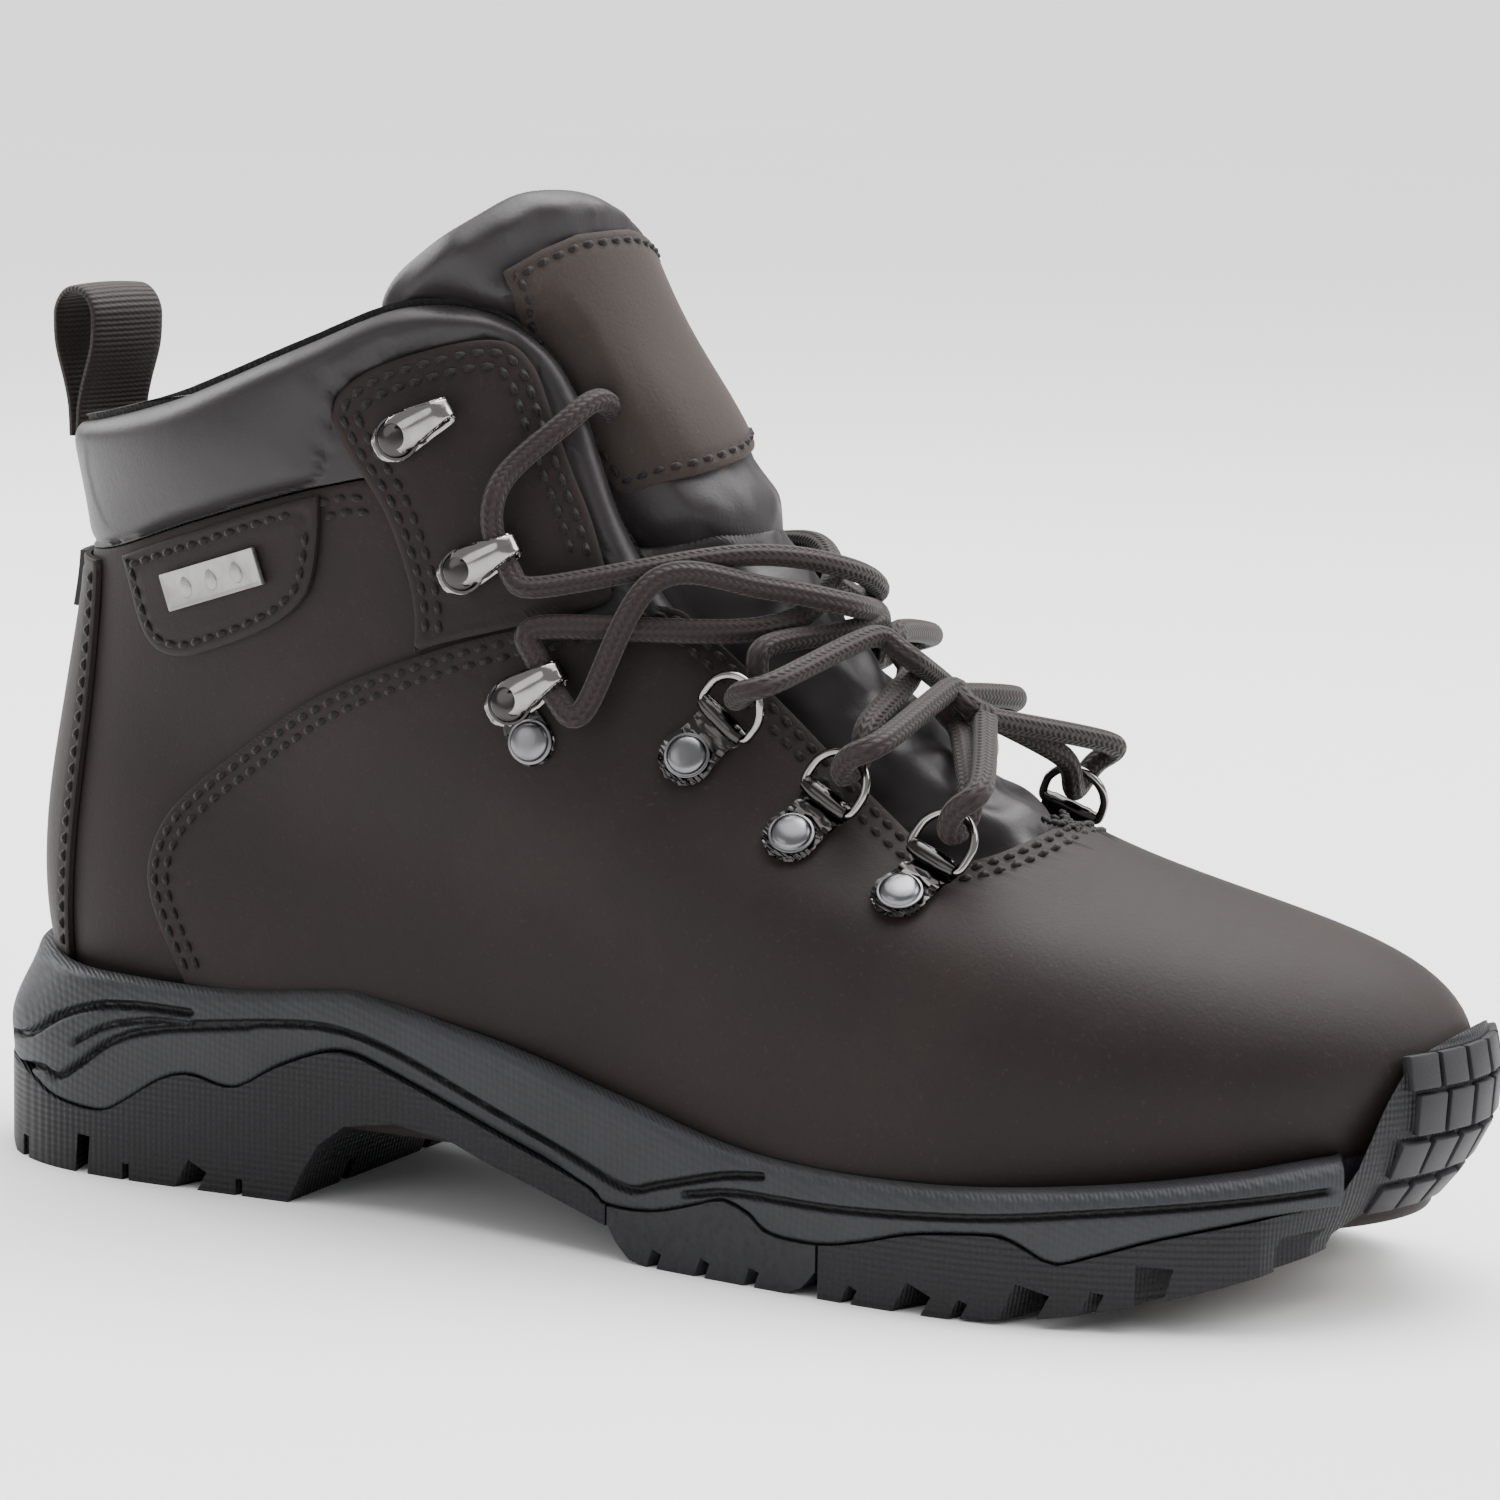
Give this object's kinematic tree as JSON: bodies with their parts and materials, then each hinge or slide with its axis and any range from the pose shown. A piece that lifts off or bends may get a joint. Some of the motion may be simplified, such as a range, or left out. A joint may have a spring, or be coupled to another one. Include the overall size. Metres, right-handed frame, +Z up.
{
  "type": "hiking boot",
  "caption": "Ankle-high lace-up hiking boot for the right foot, leather upper with padded collar and tongue, D-ring and hook lacing, lugged rubber sole.",
  "frame": {"origin": "on the ground, in the middle of the footprint of the sole", "axes": "+X towards the toe, +Y towards the inner side of the foot, +Z up"},
  "size_m": [0.318, 0.109, 0.202],
  "materials": {
    "waxed_nubuck": "matte waxed nubuck",
    "light_nubuck": "matte nubuck",
    "smooth_leather": "soft smooth, faint sheen",
    "black_mesh": "open mesh",
    "fibre_board": "raw board",
    "black_rubber": "matte, cross-hatched",
    "pebbled_rubber": "matte, pebbled",
    "grey_midsole": "satin moulded",
    "black_nickel": "polished black nickel",
    "satin_nickel": "satin",
    "spring_steel": "plain",
    "brown_braid": "round braid",
    "brown_webbing": "ribbed webbing"
  },
  "bodies": {
    "boot": {"ankle_panel_inner": "waxed_nubuck", "ankle_panel_outer": "waxed_nubuck", "backstay": "waxed_nubuck", "badge_plate": "satin_nickel", "clip_rivet_inner_1": "satin_nickel", "clip_rivet_inner_2": "satin_nickel", "clip_rivet_inner_3": "satin_nickel", "clip_rivet_outer_1": "satin_nickel", "clip_rivet_outer_2": "satin_nickel", "clip_rivet_outer_3": "satin_nickel", "collar": "smooth_leather", "eyestay_inner": "waxed_nubuck", "eyestay_outer": "waxed_nubuck", "footbed": "black_mesh", "heel_counter": "fibre_board", "hook_rivet_inner_1": "satin_nickel", "hook_rivet_inner_2": "satin_nickel", "hook_rivet_inner_3": "satin_nickel", "hook_rivet_outer_1": "satin_nickel", "hook_rivet_outer_2": "satin_nickel", "hook_rivet_outer_3": "satin_nickel", "insole_board": "fibre_board", "lace": "brown_braid", "lace_hook_inner_1": "black_nickel", "lace_hook_inner_2": "black_nickel", "lace_hook_inner_3": "black_nickel", "lace_hook_outer_1": "black_nickel", "lace_hook_outer_2": "black_nickel", "lace_hook_outer_3": "black_nickel", "lining": "black_mesh", "lock_rivet_inner": "satin_nickel", "lock_rivet_outer": "satin_nickel", "midsole": "grey_midsole", "outsole_forefoot": "black_rubber", "outsole_heel": "black_rubber", "outsole_pod_inner": "pebbled_rubber", "outsole_pod_outer": "pebbled_rubber", "pull_loop_tab": "brown_webbing", "quarter_inner": "waxed_nubuck", "quarter_outer": "waxed_nubuck", "ring_clip_inner_1": "black_nickel", "ring_clip_inner_2": "black_nickel", "ring_clip_inner_3": "black_nickel", "ring_clip_outer_1": "black_nickel", "ring_clip_outer_2": "black_nickel", "ring_clip_outer_3": "black_nickel", "shank": "spring_steel", "toe_puff": "fibre_board", "tongue_bellows": "smooth_leather", "vamp": "waxed_nubuck"},
    "tongue_top": {"tongue_pad": "smooth_leather", "tongue_patch": "light_nubuck"},
    "pull_loop": {"pull_loop": "brown_webbing"},
    "d_ring_inner_1": {"d_ring_inner_1": "black_nickel"},
    "d_ring_inner_2": {"d_ring_inner_2": "black_nickel"},
    "d_ring_inner_3": {"d_ring_inner_3": "black_nickel"},
    "d_ring_outer_1": {"d_ring_outer_1": "black_nickel"},
    "d_ring_outer_2": {"d_ring_outer_2": "black_nickel"},
    "d_ring_outer_3": {"d_ring_outer_3": "black_nickel"}
  },
  "joints": [
    {"name": "d_ring_inner_1_swing", "type": "hinge", "parent": "boot", "child": "d_ring_inner_1", "pos_m": [0.01556, 0.03111, 0.10454], "axis": [0.7931, 0.075, -0.6045], "range_deg": [-4, 4], "stiffness_Nm_per_rad": 0.004},
    {"name": "d_ring_inner_2_swing", "type": "hinge", "parent": "boot", "child": "d_ring_inner_2", "pos_m": [0.03713, 0.03174, 0.09092], "axis": [0.8796, 0.1668, -0.4454], "range_deg": [-4, 4], "stiffness_Nm_per_rad": 0.004},
    {"name": "d_ring_inner_3_swing", "type": "hinge", "parent": "boot", "child": "d_ring_inner_3", "pos_m": [0.06051, 0.03363, 0.08189], "axis": [0.9084, 0.1828, -0.3761], "range_deg": [-4, 4], "stiffness_Nm_per_rad": 0.004},
    {"name": "d_ring_outer_1_swing", "type": "hinge", "parent": "boot", "child": "d_ring_outer_1", "pos_m": [0.01579, -0.03114, 0.10437], "axis": [-0.7764, 0.0231, 0.6298], "range_deg": [-4, 4], "stiffness_Nm_per_rad": 0.004},
    {"name": "d_ring_outer_2_swing", "type": "hinge", "parent": "boot", "child": "d_ring_outer_2", "pos_m": [0.03734, -0.02943, 0.0908], "axis": [-0.8682, 0.1443, 0.4747], "range_deg": [-4, 4], "stiffness_Nm_per_rad": 0.004},
    {"name": "d_ring_outer_3_swing", "type": "hinge", "parent": "boot", "child": "d_ring_outer_3", "pos_m": [0.06032, -0.03015, 0.08157], "axis": [-0.9159, 0.1843, 0.3566], "range_deg": [-4, 4], "stiffness_Nm_per_rad": 0.004},
    {"name": "tongue_tip", "type": "hinge", "parent": "boot", "child": "tongue_top", "pos_m": [0.00796, -0.00066, 0.13142], "axis": [0, 1, 0], "range_deg": [-1, 8], "stiffness_Nm_per_rad": 0.3},
    {"name": "pull_loop_bend", "type": "hinge", "parent": "boot", "child": "pull_loop", "pos_m": [-0.144, 0.0005, 0.153], "axis": [0.2588, 0.9659, 0], "range_deg": [-30, 30], "stiffness_Nm_per_rad": 0.02}
  ]
}
